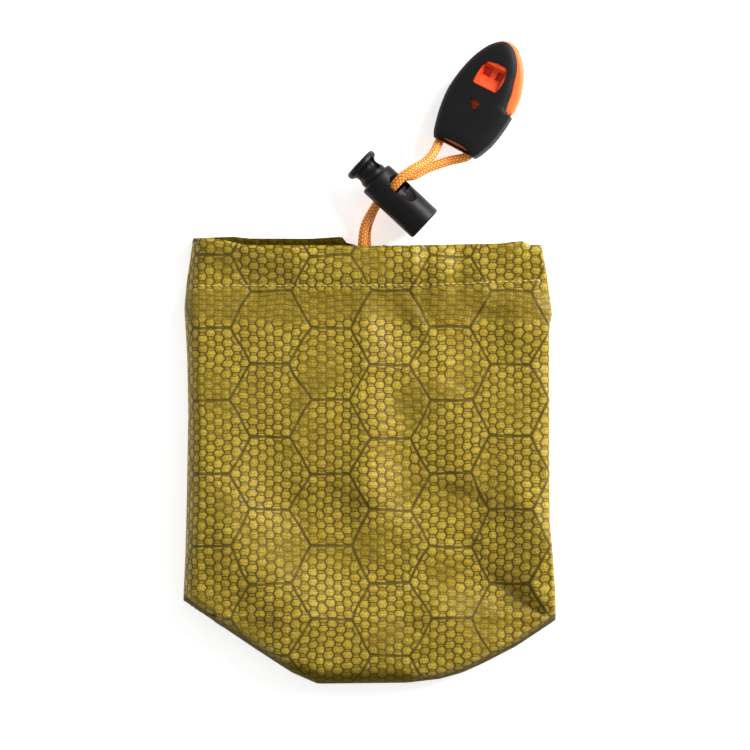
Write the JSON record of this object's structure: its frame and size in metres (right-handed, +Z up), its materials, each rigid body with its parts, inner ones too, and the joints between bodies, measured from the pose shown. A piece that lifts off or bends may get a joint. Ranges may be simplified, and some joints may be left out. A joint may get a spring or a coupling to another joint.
{
  "type": "drawstring stuff sack",
  "caption": "Small ripstop stuff sack lying flat on its back, its mouth drawn by a braided cord with a barrel cord lock and a whistle.",
  "frame": {"origin": "on the floor under the middle of the sack's cloth", "axes": "+Y towards the mouth and the cord, +X to the right of its front, +Z up out of the front"},
  "size_m": [0.1492, 0.2576, 0.0188],
  "materials": {
    "ripstop": "coated woven ripstop in olive gold",
    "braid": "round braided polyester cord",
    "lock_plastic": "moulded satin",
    "whistle_black": "moulded matte",
    "whistle_orange": "moulded"
  },
  "bodies": {
    "sack": {"sack_cloth": "ripstop", "drawcord": "braid", "lock_barrel": "lock_plastic", "whistle_shell": "whistle_black", "whistle_core": "whistle_orange"},
    "plunger": {"lock_plunger": "lock_plastic"}
  },
  "joints": [
    {"name": "plunger_press", "type": "slide", "parent": "sack", "child": "plunger", "axis": [0.7314, -0.682, 0], "range_m": [0, 0.004], "stiffness_N_per_m": 300}
  ]
}
